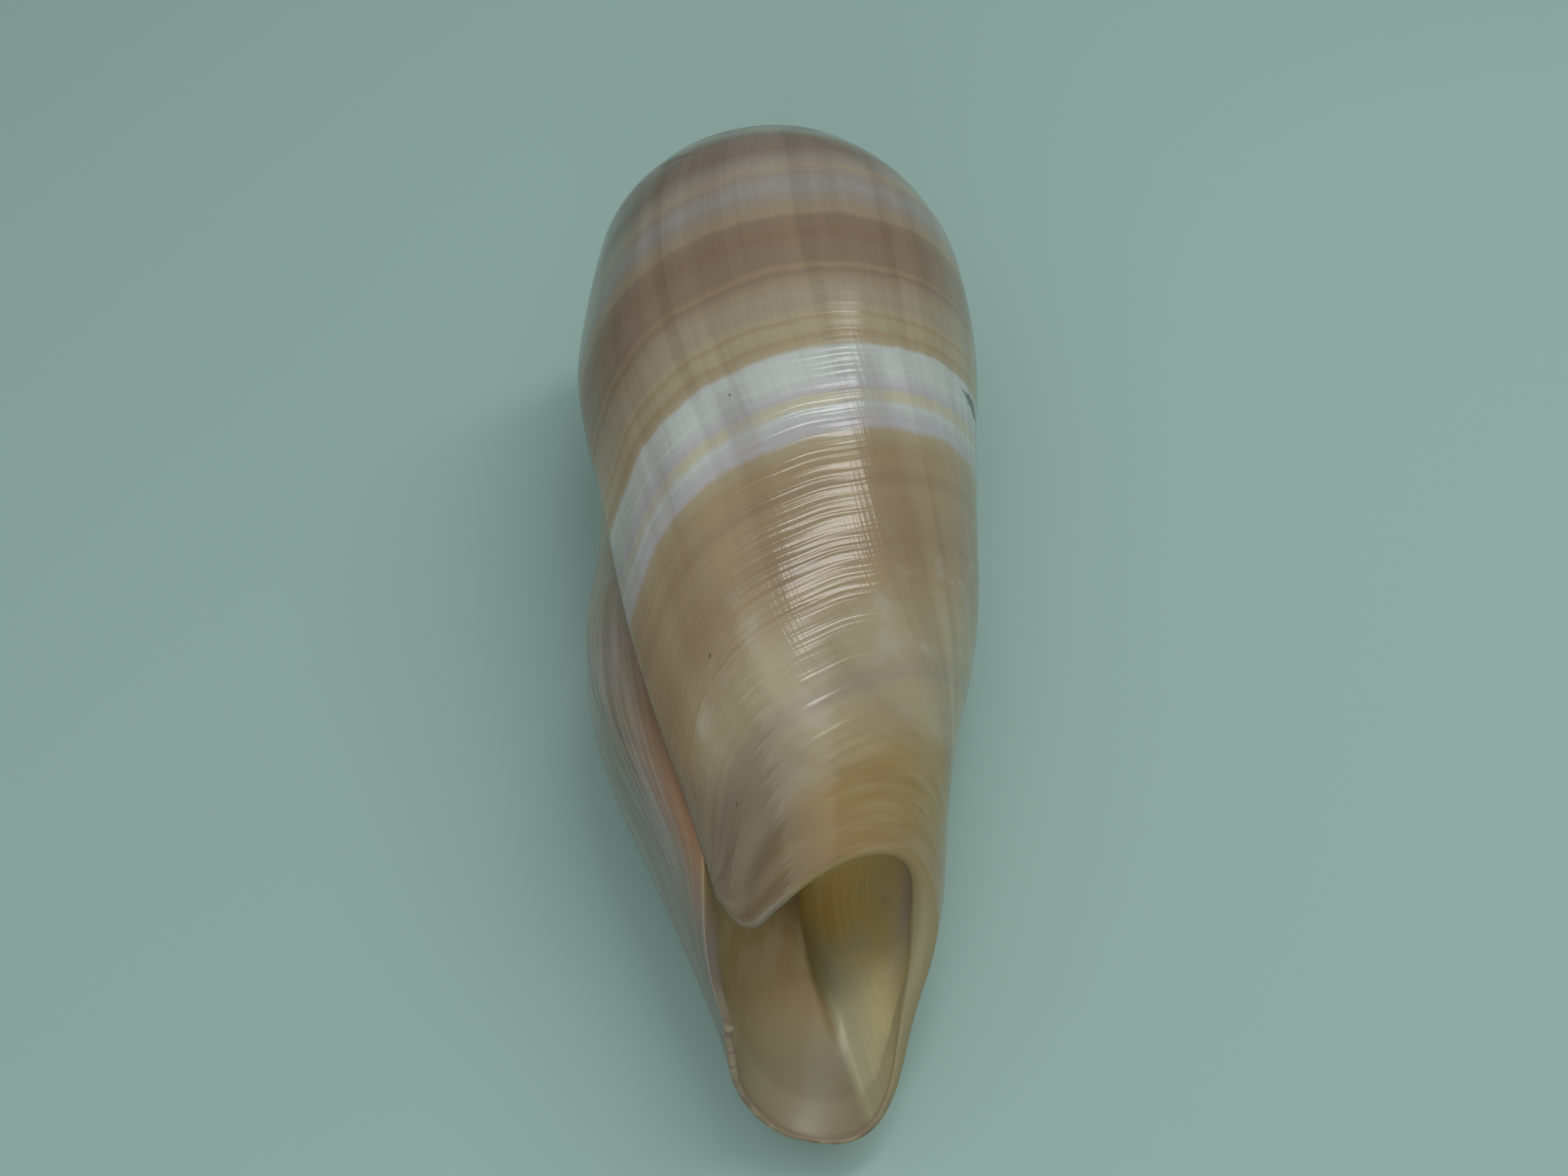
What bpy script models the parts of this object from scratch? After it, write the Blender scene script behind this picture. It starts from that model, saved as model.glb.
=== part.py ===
"""A cone shell, Conus circumcisus, lying on its side: spire towards +Y, base towards -Y, outer lip facing -X.

The shell is one spiral sheet. Every point has an age, the angle in degrees through which the shell has grown
since, so age 0 is the edge of the outer lip and age 360 is the same place one whorl earlier. A point also has
a depth, its distance from the tip of the spire along the coiling axis, in millimetres.
"""

import bmesh
import bpy
import numpy as np

MM = 0.001
WHORL = 360.0

# Spire: the shoulder climbs from the lip to the tip as a logarithmic spiral.
SHOULDER_RADIUS = 9.6
SHOULDER_DEPTH = 4.9
WHORL_RATIO = 1.32
SPIRE_WHORLS = 6
RAMP_SAG = 0.25

# Body whorl: radius against depth, and where it leaves a plain turned shape.
BODY_PROFILE = (
    (4.9, 9.8), (7.0, 11.4), (10.0, 12.4), (14.0, 13.0), (18.0, 13.1), (24.0, 12.5), (30.0, 11.9),
    (36.0, 11.4), (41.0, 10.7), (46.0, 9.5), (51.0, 8.1), (57.0, 6.8), (66.0, 6.0),
)
SHOULDER_FADE_DEPTH = 11.0
BELLY = dict(height=1.4, age=305.0, age_width=60.0, depth=43.0, depth_width=10.0)
BACK = dict(height=0.55, age=105.0, age_width=45.0, depth=6.0, depth_width=7.0)
WAIST = dict(height=-0.8, age=160.0, age_width=55.0, depth=45.0, depth_width=6.0)
LIP_TAPER = dict(height=-0.5, age=0.0, age_width=35.0, depth=56.0, depth_width=8.0)
LIP_SHOULDER = dict(height=-1.0, age=0.0, age_width=40.0, depth=11.0, depth_width=8.0)
FRONT_TAPER = dict(height=-2.6, age=325.0, age_width=50.0, depth=67.0, depth_width=8.0)
FASCIOLE = dict(height=0.35, age=150.0, age_width=28.0, depth=55.0, depth_width=4.0)
SWELLINGS = (BELLY, BACK, WAIST, LIP_TAPER, LIP_SHOULDER, FRONT_TAPER, FASCIOLE)

# Outer lip: the angle of its edge against depth. It leans back towards the base.
LIP_EDGE = ((0.0, 74.0), (16.0, 74.0), (23.0, 70.0), (30.0, 62.0), (40.0, 54.0), (56.0, 45.0), (66.0, 40.0))

# Front margin: depth at which the shell ends, against age. The notch is the low stretch near age 90.
MARGIN = (
    (0.0, 54.8), (7.0, 56.3), (15.0, 56.8), (30.0, 56.2), (50.0, 54.9), (75.0, 53.6), (100.0, 53.4),
    (130.0, 56.0), (160.0, 60.6), (190.0, 64.6), (235.0, 65.0), (280.0, 63.0), (320.0, 61.4), (360.0, 60.6),
)

# Aperture: a slot between the last whorl and the one before, opening into a trough at the base.
EDGE_THICKNESS = 0.7
NOTCH_THICKENING = dict(height=0.9, age=128.0, age_width=22.0, depth=56.0, depth_width=9.0)
WALL_THICKNESS = 1.2
LIP_THICKENS = 50.0
MARGIN_THICKENS = 8.0
COLUMELLA_THICKENS = 15.0
TUCK_BACK = 2.2
TUCK_FRONT = 3.8
TUCK_WIDENS = (25.0, 50.0)
TUCK_STARTS = ((20.0, 300.0), (29.0, 310.0), (36.0, 332.0), (42.0, 338.0), (66.0, 340.0))
CEILING = 1.3
CEILING_AT_LIP = 0.6
CEILING_STEEPENS = 30.0
TROUGH_DEPTHS = (38.0, 54.0)
COLUMELLA_PAD = 4.0
COLUMELLA_END = 64.0
COLUMELLA_PAD_LENGTH = 11.0
COLUMELLA_RIM = 1.5
COLUMELLA_SAG = 0.5
COLUMELLA_FOLD = ((48.0, 246.0), (53.0, 232.0), (58.0, 215.0), (65.0, 194.0))
COLUMELLA_FOLD_WIDTH = 16.0
COLUMELLA_FACE_LIMIT = 1.2
COLUMELLA_EDGE_TUCK = 0.7
COLUMELLA_EDGE_AGES = (310.0, 360.0)
COLUMELLA_EDGE_SHIFTS_FROM = 300.0
COLUMELLA_EDGE_SHIFT = 0.5
COLUMELLA_EDGE_TURNS = (51.0, 61.0)

# Pose: the base hangs a little lower than the spire, and the belly is worn flat where it rests.
BASE_DROOP = 5.0
FLAT_CUT = 0.2
REST_CUTTER = (0.1, 0.1, 0.01)

# Mesh
AGES_PER_WHORL = 44
ROWS = 30
RAMP_COLUMNS = 2

SHELL_COLOUR = (0.46, 0.36, 0.27, 1.0)
SHELL_ROUGHNESS = 0.3


def clear_scene():
    for obj in list(bpy.data.objects):
        bpy.data.objects.remove(obj, do_unlink=True)


def ease(x):
    """0 below 0 and 1 above 1, with a smooth S between."""
    x = np.clip(x, 0.0, 1.0)
    return x * x * (3.0 - 2.0 * x)


def curve_through(points, x):
    """A smooth curve through the points, with each slope taken from its two neighbours."""
    knots = np.array([p[0] for p in points])
    values = np.array([p[1] for p in points])
    slopes = np.gradient(values, knots)
    x = np.clip(x, knots[0], knots[-1])
    i = np.clip(np.searchsorted(knots, x, side="right") - 1, 0, len(knots) - 2)
    width = knots[i + 1] - knots[i]
    t = (x - knots[i]) / width
    start = (1 + 2 * t) * (1 - t) ** 2 * values[i] + t * (1 - t) ** 2 * width * slopes[i]
    end = t * t * (3 - 2 * t) * values[i + 1] + t * t * (t - 1) * width * slopes[i + 1]
    return start + end


def swelling(form, age, depth):
    """A soft bump or hollow of a form's height round its own age and depth."""
    across = ((age - form["age"]) / form["age_width"]) ** 2
    along = ((depth - form["depth"]) / form["depth_width"]) ** 2
    return form["height"] * np.exp(-across - along)


def shrink(age):
    return WHORL_RATIO ** (-age / WHORL)


def shoulder_depth(age):
    return SHOULDER_DEPTH * shrink(age)


def margin_depth(age):
    return curve_through(MARGIN, age)


def lip_angle(depth):
    return curve_through(LIP_EDGE, depth)


def free_radius(age, depth):
    """Radius of the outer surface where no later whorl lies over it."""
    top = shoulder_depth(age)
    fade = 1.0 - ease((depth - top) / (SHOULDER_FADE_DEPTH - top))
    radius = curve_through(BODY_PROFILE, depth + (SHOULDER_DEPTH - top) * fade)
    radius = radius * (1.0 - (1.0 - shrink(age)) * fade)
    for form in SWELLINGS:
        radius = radius + swelling(form, age, depth)
    return radius


def tuck(depth):
    """How far the body whorl lies inside the lip, right under its edge."""
    start, end = TUCK_WIDENS
    wide = TUCK_BACK + (TUCK_FRONT - TUCK_BACK) * ease((depth - start) / (end - start))
    top = shoulder_depth(WHORL)
    return wide * ease((depth - top) / (SHOULDER_FADE_DEPTH - top))


def wall(age, depth):
    inwards = ease(age / LIP_THICKENS) * ease((margin_depth(age) - depth) / MARGIN_THICKENS)
    even = EDGE_THICKNESS + (WALL_THICKNESS - EDGE_THICKNESS) * inwards
    return even + swelling(NOTCH_THICKENING, age, depth)


def place(angle, radius, depth):
    """Points from an angle round the axis in degrees, 0 on top and 90 at -X, a radius and a depth."""
    angle = np.radians(angle)
    return np.stack([-radius * np.sin(angle), radius * np.cos(angle), depth + 0.0 * radius], axis=-1)


def trough_share(depth):
    start, end = TROUGH_DEPTHS
    return ease((depth - start) / (end - start))


def edge_turning(depth):
    start, end = COLUMELLA_EDGE_TURNS
    return ease((depth - start) / (end - start))


def front_age(age, depth):
    """Ages near the inner lip, drawn together at the base so that the columella's edge stands to the left."""
    past = np.maximum(age - COLUMELLA_EDGE_SHIFTS_FROM, 0.0)
    return age - COLUMELLA_EDGE_SHIFT * edge_turning(depth) * past


def front_radius(age, depth):
    start, end = COLUMELLA_EDGE_AGES
    edge = COLUMELLA_EDGE_TUCK * ease((age - start) / (end - start)) * (1.0 - edge_turning(depth))
    return free_radius(front_age(age, depth), depth) - edge


def outer_points(age, depth):
    """Outside of the last whorl, ages 0 to 360."""
    tuck_age = curve_through(TUCK_STARTS, depth)
    covered = ease((age - tuck_age) / (WHORL - tuck_age))
    behind = place(lip_angle(depth) - age, free_radius(age, depth) - tuck(depth) * covered, depth)
    front = place(lip_angle(depth) - front_age(age, depth), front_radius(age, depth), depth)
    share = trough_share(depth)[..., None]
    return behind + (front - behind) * share


def columella_face(age, depth):
    """The glazed face: nearly straight from the inner lip's edge to a ridge along the columella's right."""
    fold = curve_through(COLUMELLA_FOLD, depth)
    pad = COLUMELLA_PAD * ease((COLUMELLA_END - depth) / COLUMELLA_PAD_LENGTH)
    edge = place(lip_angle(depth) - front_age(WHORL, depth), front_radius(WHORL, depth), depth)
    foot = place(lip_angle(depth) - fold, free_radius(fold, depth) - WALL_THICKNESS - pad, depth)
    across = np.clip((WHORL - age) / (WHORL - fold), 0.0, COLUMELLA_FACE_LIMIT)
    sag = COLUMELLA_SAG * np.sin(np.pi * np.clip(across, 0.0, 1.0))
    face = edge + (foot - edge) * across[..., None]
    face[..., 1] -= sag
    return face


def core_points(step_age, depth):
    """The floor of the aperture. step_age runs from 0 under the lip to 180 at the slot's end."""
    gap = free_radius(0.0, depth) - EDGE_THICKNESS - (free_radius(WHORL, depth) - tuck(depth))
    narrowing = np.cos(np.radians(step_age) / 2.0)
    radius = free_radius(step_age, depth) - wall(step_age, depth) - gap * narrowing
    behind = place(lip_angle(depth) - step_age, radius, depth)
    age = WHORL - step_age
    thickness = wall(age, depth) * ease(step_age / COLUMELLA_THICKENS)
    front = place(lip_angle(depth) - front_age(age, depth), front_radius(age, depth) - thickness, depth)
    fold = curve_through(COLUMELLA_FOLD, depth)
    behind_rim = ease((COLUMELLA_END - depth) / COLUMELLA_PAD_LENGTH)
    behind_rim = behind_rim * ease((margin_depth(age) - depth) / COLUMELLA_RIM)
    glazed = behind_rim * ease((age - fold) / COLUMELLA_FOLD_WIDTH + 0.5)
    front = front + (columella_face(age, depth) - front) * glazed[..., None]
    share = trough_share(depth)[..., None]
    return behind + (front - behind) * share


def wall_points(age, depth):
    """Inside of the last whorl, ages 0 to 180."""
    return place(lip_angle(depth) - age, free_radius(age, depth) - wall(age, depth), depth)


def sheet_rows():
    """The sheet below the shoulder as rows of points: outside, aperture floor, then inside of the wall."""
    whole = np.linspace(0.0, WHORL, AGES_PER_WHORL + 1)
    half = whole[: AGES_PER_WHORL // 2 + 1]
    down = np.linspace(0.0, 1.0, ROWS + 1)[:, None]
    outer_top = shoulder_depth(whole)
    outer_depth = outer_top + (margin_depth(whole) - outer_top) * down
    outer = outer_points(whole[None, :], outer_depth)
    below = ease(half / CEILING_STEEPENS)
    core_top = shoulder_depth(WHORL) * (1.0 - below) + (shoulder_depth(half) + CEILING) * below
    core_depth = core_top + (margin_depth(WHORL - half) - core_top) * down
    core = core_points(half[None, :], core_depth)
    wall_top = shoulder_depth(half) + CEILING * (CEILING_AT_LIP + (1.0 - CEILING_AT_LIP) * below)
    wall_depth = wall_top + (margin_depth(half) - wall_top) * down
    inner = wall_points(half[None, :], wall_depth)
    return np.concatenate([outer, core[:, 1:], inner[:, -2::-1]], axis=1)


def spire_rings():
    """Suture line from the lip to the tip of the spire, one point for each age step."""
    age = np.arange(SPIRE_WHORLS * AGES_PER_WHORL + 1) * WHORL / AGES_PER_WHORL
    angle = lip_angle(SHOULDER_DEPTH) - age
    return place(angle, SHOULDER_RADIUS * shrink(age), shoulder_depth(age))


class Mesh:
    """Points and faces gathered before they become one object."""

    def __init__(self):
        self.points = []
        self.faces = []

    def add(self, points):
        start = len(self.points)
        self.points.extend(np.asarray(points).reshape(-1, 3).tolist())
        return np.arange(start, len(self.points))

    def face(self, *corners):
        kept = [c for i, c in enumerate(corners) if c not in corners[:i]]
        if len(kept) > 2:
            self.faces.append(tuple(int(c) for c in kept))


def add_sheet(mesh):
    """The sheet's faces, its lip face, its front margin and the ceiling of the aperture."""
    rows = sheet_rows()
    index = mesh.add(rows).reshape(rows.shape[:2])
    last = index.shape[1] - 1
    for upper, lower in zip(index[:-1], index[1:]):
        for i in range(last):
            mesh.face(upper[i], upper[i + 1], lower[i + 1], lower[i])
        mesh.face(upper[last], upper[0], lower[0], lower[last])
    front = index[-1]
    for i in range(AGES_PER_WHORL):
        mesh.face(front[i], front[i + 1], front[last - i - 1], front[last - i])
    top = index[0]
    for i in range(AGES_PER_WHORL // 2):
        core = AGES_PER_WHORL + i
        mesh.face(top[last - i], top[last - i - 1], top[core + 1], top[core])
    return top


def add_spire(mesh, top):
    """The stepped spire: a ramp from each suture out to the next shoulder, closed by a fan at the tip."""
    rings = spire_rings()
    n = AGES_PER_WHORL
    edge = list(top[: n + 1]) + list(mesh.add(rings[n + 1:]))
    turns = SPIRE_WHORLS - 1
    columns = []
    for k in range(turns * n + 1):
        outer = np.array(mesh.points[edge[k]])
        inner = np.array(mesh.points[edge[k + n]])
        column = [edge[k]]
        for v in range(1, RAMP_COLUMNS):
            t = v / RAMP_COLUMNS
            point = outer + (inner - outer) * t
            point[2] += RAMP_SAG * shrink(k * WHORL / n) * np.sin(np.pi * t)
            column.extend(mesh.add(point))
        column.append(edge[k + n])
        columns.append(column)
    for left, right in zip(columns[:-1], columns[1:]):
        for v in range(RAMP_COLUMNS):
            mesh.face(left[v], right[v], right[v + 1], left[v + 1])
    tip = mesh.add([[0.0, 0.0, 0.0]])[0]
    for k in range(turns * n, SPIRE_WHORLS * n):
        mesh.face(edge[k], edge[k + 1], tip)
    mesh.face(*columns[-1], tip)
    mesh.face(*columns[0], top[-1])


def laid_down(points):
    """Points turned from the shell's own axes to the way it lies, in metres, resting at height 0."""
    droop = np.radians(BASE_DROOP)
    right, up, front = points.T
    turned = np.stack([
        right,
        -up * np.sin(droop) - front * np.cos(droop),
        up * np.cos(droop) - front * np.sin(droop),
    ], axis=1)
    low, high = turned.min(axis=0), turned.max(axis=0)
    middle = (low + high) / 2.0
    return (turned - [middle[0], middle[1], low[2] + FLAT_CUT]) * MM


def shell_material():
    material = bpy.data.materials.new("shell")
    material.use_nodes = True
    shader = material.node_tree.nodes["Principled BSDF"]
    shader.inputs["Base Color"].default_value = SHELL_COLOUR
    shader.inputs["Roughness"].default_value = SHELL_ROUGHNESS
    shader.inputs["Metallic"].default_value = 0.0
    return material


def make_shell(collection):
    mesh = Mesh()
    add_spire(mesh, add_sheet(mesh))
    data = bpy.data.meshes.new("shell")
    data.from_pydata(laid_down(np.array(mesh.points)).tolist(), [], mesh.faces)
    solid = bmesh.new()
    solid.from_mesh(data)
    bmesh.ops.triangulate(solid, faces=solid.faces)
    bmesh.ops.recalc_face_normals(solid, faces=solid.faces)
    solid.to_mesh(data)
    solid.free()
    data.shade_smooth()
    data.materials.append(shell_material())
    shell = bpy.data.objects.new("shell", data)
    collection.objects.link(shell)
    return shell


def cut_rest_flat(shell, collection):
    """Takes off what lies below height 0, which leaves a small flat spot to rest on."""
    bpy.ops.mesh.primitive_cube_add(size=1.0)
    cutter = bpy.context.active_object
    cutter.name = "rest_cutter"
    for other in list(cutter.users_collection):
        other.objects.unlink(cutter)
    collection.objects.link(cutter)
    cutter.scale = REST_CUTTER
    cutter.location = (0.0, 0.0, -REST_CUTTER[2] / 2.0)
    cutter.hide_render = True
    cutter.display_type = "WIRE"
    cut = shell.modifiers.new("rest_flat", "BOOLEAN")
    cut.operation = "DIFFERENCE"
    cut.solver = "EXACT"
    cut.object = cutter


def main():
    clear_scene()
    parts = bpy.data.collections.new("cone_shell")
    cutters = bpy.data.collections.new("cutters")
    for collection in (parts, cutters):
        bpy.context.scene.collection.children.link(collection)
    shell = make_shell(parts)
    cut_rest_flat(shell, cutters)


main()
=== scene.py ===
"""Looks of a cone shell, Conus circumcisus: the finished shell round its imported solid, and its stage.

The shell is one spiral sheet. A point of it has an age, the angle in degrees through which the shell has
grown since that point was its lip, and a depth, its distance from the spire's tip along the coiling axis,
in millimetres. Markings and relief follow these two, so they run the way the shell grew.
"""

import math

import bmesh
import bpy
import numpy as np
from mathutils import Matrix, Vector


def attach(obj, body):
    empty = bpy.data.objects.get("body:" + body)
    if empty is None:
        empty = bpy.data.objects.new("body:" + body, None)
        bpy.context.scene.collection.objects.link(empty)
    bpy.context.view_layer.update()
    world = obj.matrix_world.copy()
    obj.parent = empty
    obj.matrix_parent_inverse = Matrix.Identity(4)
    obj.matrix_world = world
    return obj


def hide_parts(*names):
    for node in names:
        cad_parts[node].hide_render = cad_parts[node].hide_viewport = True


bl_info = {
    "name": "Cone Shell",
    "version": (1, 0, 0),
    "blender": (4, 5, 0),
    "location": "3D View > Sidebar > Cone Shell",
    "description": "Builds a banded cone shell around its packed solid",
    "category": "Add Mesh",
}

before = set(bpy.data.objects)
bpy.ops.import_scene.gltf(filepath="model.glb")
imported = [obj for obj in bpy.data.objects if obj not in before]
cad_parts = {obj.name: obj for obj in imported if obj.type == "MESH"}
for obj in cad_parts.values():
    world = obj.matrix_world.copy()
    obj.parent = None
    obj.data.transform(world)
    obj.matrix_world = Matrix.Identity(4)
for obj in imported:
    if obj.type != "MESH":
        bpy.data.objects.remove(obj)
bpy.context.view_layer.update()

MM = 0.001
WHORL = 360.0
MM_PER_CM = 10.0

# Spire and body whorl, in millimetres and degrees
SHOULDER_RADIUS = 9.6
SHOULDER_DEPTH = 4.9
WHORL_RATIO = 1.32
SPIRE_WHORLS = 6
RAMP_SAG = 0.25
BODY_PROFILE = (
    (4.9, 9.8), (7.0, 11.4), (10.0, 12.4), (14.0, 13.0), (18.0, 13.1), (24.0, 12.5), (30.0, 11.9),
    (36.0, 11.4), (41.0, 10.7), (46.0, 9.5), (51.0, 8.1), (57.0, 6.8), (66.0, 6.0),
)
SHOULDER_FADE_DEPTH = 11.0
BELLY = dict(height=1.4, age=305.0, age_width=60.0, depth=43.0, depth_width=10.0)
BACK = dict(height=0.55, age=105.0, age_width=45.0, depth=6.0, depth_width=7.0)
WAIST = dict(height=-0.8, age=160.0, age_width=55.0, depth=45.0, depth_width=6.0)
LIP_TAPER = dict(height=-0.5, age=0.0, age_width=35.0, depth=56.0, depth_width=8.0)
LIP_SHOULDER = dict(height=-1.0, age=0.0, age_width=40.0, depth=11.0, depth_width=8.0)
FRONT_TAPER = dict(height=-2.6, age=325.0, age_width=50.0, depth=67.0, depth_width=8.0)
FASCIOLE = dict(height=0.35, age=150.0, age_width=28.0, depth=55.0, depth_width=4.0)
RIGHT_TAPER = dict(height=-0.7, age=155.0, age_width=30.0, depth=60.0, depth_width=4.5)
SWELLINGS = (BELLY, BACK, WAIST, LIP_TAPER, LIP_SHOULDER, FRONT_TAPER, FASCIOLE, RIGHT_TAPER)

# Lip, front margin and aperture
LIP_EDGE = ((0.0, 74.0), (16.0, 74.0), (23.0, 70.0), (30.0, 62.0), (40.0, 54.0), (56.0, 45.0), (66.0, 40.0))
MARGIN = (
    (0.0, 54.8), (7.0, 56.3), (15.0, 56.8), (30.0, 56.2), (50.0, 54.9), (75.0, 53.6), (100.0, 53.4),
    (130.0, 56.0), (160.0, 60.6), (190.0, 64.6), (235.0, 65.0), (280.0, 63.0), (320.0, 61.4), (360.0, 60.6),
)
EDGE_THICKNESS = 0.7
BASE_EDGE_THINS = 0.25
BASE_EDGE_FROM = (150.0, 50.0)
BASE_EDGE_TO = (358.0, 30.0)
NOTCH_THICKENING = dict(height=0.9, age=128.0, age_width=22.0, depth=56.0, depth_width=9.0)
WALL_THICKNESS = 1.2
LIP_THICKENS = 50.0
MARGIN_THICKENS = 8.0
COLUMELLA_THICKENS = 15.0
TUCK_BACK = 2.2
TUCK_FRONT = 3.8
TUCK_WIDENS = (25.0, 50.0)
TUCK_STARTS = ((20.0, 300.0), (29.0, 310.0), (36.0, 332.0), (42.0, 338.0), (66.0, 340.0))
CEILING = 1.3
CEILING_AT_LIP = 0.6
CEILING_STEEPENS = 30.0
TROUGH_DEPTHS = (38.0, 54.0)
COLUMELLA_PAD = 4.0
COLUMELLA_END = 64.0
COLUMELLA_PAD_LENGTH = 11.0
COLUMELLA_RIM = 1.5
COLUMELLA_SAG = 0.5
COLUMELLA_FOLD = ((48.0, 246.0), (53.0, 232.0), (58.0, 215.0), (65.0, 194.0))
COLUMELLA_FOLD_WIDTH = 16.0
COLUMELLA_FACE_LIMIT = 1.2
COLUMELLA_EDGE_TUCK = 0.7
COLUMELLA_EDGE_AGES = (310.0, 360.0)
COLUMELLA_EDGE_SHIFTS_FROM = 300.0
COLUMELLA_EDGE_SHIFT = 0.5
COLUMELLA_EDGE_TURNS = (51.0, 61.0)
BASE_DROOP = 5.0
FLAT_CUT = 0.2

# Markings: how far bands drop at each age, and how much more towards the base
BAND_DROP = (
    (0.0, 9.5), (10.0, 7.8), (20.0, 5.9), (30.0, 4.6), (40.0, 3.6), (50.0, 2.85), (60.0, 2.2), (70.0, 1.5),
    (80.0, 1.0), (90.0, 0.4), (100.0, 0.0), (110.0, -0.4), (120.0, -0.8), (130.0, -1.05), (360.0, -4.5),
)
BAND_DROP_SCALE = (
    (0.0, 0.6), (14.6, 0.65), (18.3, 0.8), (24.0, 0.95), (29.0, 1.05), (38.0, 1.15), (60.0, 1.3),
)
BAND_ROUNDS = 12
RIM_REACH = 9.5
RIM_SOFTNESS = 0.3
RAMP_WIDTH = 3.0
GROWTH_MAPS = ("growth", "place", "marking", "fold", "edge")
TIP_FAN_AGE = 40.0
TIP_FAN_OFFSET = 2.0
FAN_REACH = 10.0

# Fineness of the surface
AGES_PER_WHORL = 160
ROWS = 220
RAMP_COLUMNS = 8
EDGE_COLUMNS = 4
CAP_BULGE = 0.3
LIP_BULGE = 0.45

# The stuff of the shell: how much light it bends, and how much goes under its surface
REFRACTION = 1.55
GLOW_SHARE = 0.3
GLOW_COLOURS = (1.0, 0.8, 0.5)
GLOW_REACH = 1.5

# Fixed lights: place, target and side
FRONT_BOX = ((-0.03, -0.19, 0.10), (0.0, -0.04, 0.0), 0.12)
TOP_BOX = ((0.0, -0.12, 0.45), (0.0, 0.0, 0.0), 0.4)
KEY_TARGET = (0.0, 0.0, 0.02)
FILL_COLOUR = (0.95, 1.0, 0.99, 1.0)


def ease(x):
    """0 below 0 and 1 above 1, with a smooth S between."""
    x = np.clip(x, 0.0, 1.0)
    return x * x * (3.0 - 2.0 * x)


def ease_between(x, start, end):
    return ease((x - start) / (end - start))


def blend(a, b, share):
    """Points on the way from a to b, by a share for each of them."""
    return a + (b - a) * share[..., None]


def curve_through(points, x):
    """A smooth curve through the points: cubic pieces, with each slope taken from its two neighbours."""
    knots = np.array([p[0] for p in points])
    values = np.array([p[1] for p in points])
    slopes = np.gradient(values, knots)
    x = np.clip(x, knots[0], knots[-1])
    i = np.clip(np.searchsorted(knots, x, side="right") - 1, 0, len(knots) - 2)
    width = knots[i + 1] - knots[i]
    t = (x - knots[i]) / width
    start = (1 + 2 * t) * (1 - t) ** 2 * values[i] + t * (1 - t) ** 2 * width * slopes[i]
    end = t * t * (3 - 2 * t) * values[i + 1] + t * t * (t - 1) * width * slopes[i + 1]
    return start + end


def swelling(form, age, depth):
    """A bump or hollow: its height times a bell curve of age times a bell curve of depth."""
    across = ((age - form["age"]) / form["age_width"]) ** 2
    along = ((depth - form["depth"]) / form["depth_width"]) ** 2
    return form["height"] * np.exp(-across - along)


def shrink(age):
    """How much smaller the shell was at an age: the whorl ratio to the power of minus the whorls since."""
    return WHORL_RATIO ** (-age / WHORL)


def shoulder_depth(age):
    return SHOULDER_DEPTH * shrink(age)


def margin_depth(age):
    return curve_through(MARGIN, age)


def lip_angle(depth):
    return curve_through(LIP_EDGE, depth)


def free_radius(age, depth):
    """Radius of the outside: the body's profile, drawn in near the shoulder as the shell was smaller, plus
    the swellings."""
    top = shoulder_depth(age)
    fade = 1.0 - ease_between(depth, top, SHOULDER_FADE_DEPTH)
    radius = curve_through(BODY_PROFILE, depth + (SHOULDER_DEPTH - top) * fade)
    radius = radius * (1.0 - (1.0 - shrink(age)) * fade)
    for form in SWELLINGS:
        radius = radius + swelling(form, age, depth)
    return radius


def tuck(depth):
    """How far the body whorl lies inside the lip, right under its edge."""
    wide = TUCK_BACK + (TUCK_FRONT - TUCK_BACK) * ease_between(depth, *TUCK_WIDENS)
    return wide * ease_between(depth, shoulder_depth(WHORL), SHOULDER_FADE_DEPTH)


def wall(age, depth):
    """Wall thickness: thin at the lip and at the front margin, full further in."""
    inwards = ease(age / LIP_THICKENS) * ease((margin_depth(age) - depth) / MARGIN_THICKENS)
    start, growing = BASE_EDGE_FROM
    end, fading = BASE_EDGE_TO
    edge = EDGE_THICKNESS - BASE_EDGE_THINS * ease((age - start) / growing) * ease((end - age) / fading)
    even = edge + (WALL_THICKNESS - edge) * inwards
    return even + swelling(NOTCH_THICKENING, age, depth)


def place(angle, radius, depth):
    """Points from an angle round the axis in degrees, 0 on top and 90 at -X, a radius and a depth."""
    angle = np.radians(angle)
    return np.stack([-radius * np.sin(angle), radius * np.cos(angle), depth + 0.0 * radius], axis=-1)


def trough_share(depth):
    return ease_between(depth, *TROUGH_DEPTHS)


def edge_turning(depth):
    return ease_between(depth, *COLUMELLA_EDGE_TURNS)


def front_age(age, depth):
    """Ages near the inner lip, drawn together at the base so that the columella's edge stands to the left."""
    past = np.maximum(age - COLUMELLA_EDGE_SHIFTS_FROM, 0.0)
    return age - COLUMELLA_EDGE_SHIFT * edge_turning(depth) * past


def front_radius(age, depth):
    edge = COLUMELLA_EDGE_TUCK * ease_between(age, *COLUMELLA_EDGE_AGES) * (1.0 - edge_turning(depth))
    return free_radius(front_age(age, depth), depth) - edge


def outer_points(age, depth):
    """Outside of the last whorl, ages 0 to 360: the free radius, less the tuck under the lip, giving way at
    the base to the open trough."""
    tuck_age = curve_through(TUCK_STARTS, depth)
    covered = ease_between(age, tuck_age, WHORL)
    behind = place(lip_angle(depth) - age, free_radius(age, depth) - tuck(depth) * covered, depth)
    front = place(lip_angle(depth) - front_age(age, depth), front_radius(age, depth), depth)
    return blend(behind, front, trough_share(depth))


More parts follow.
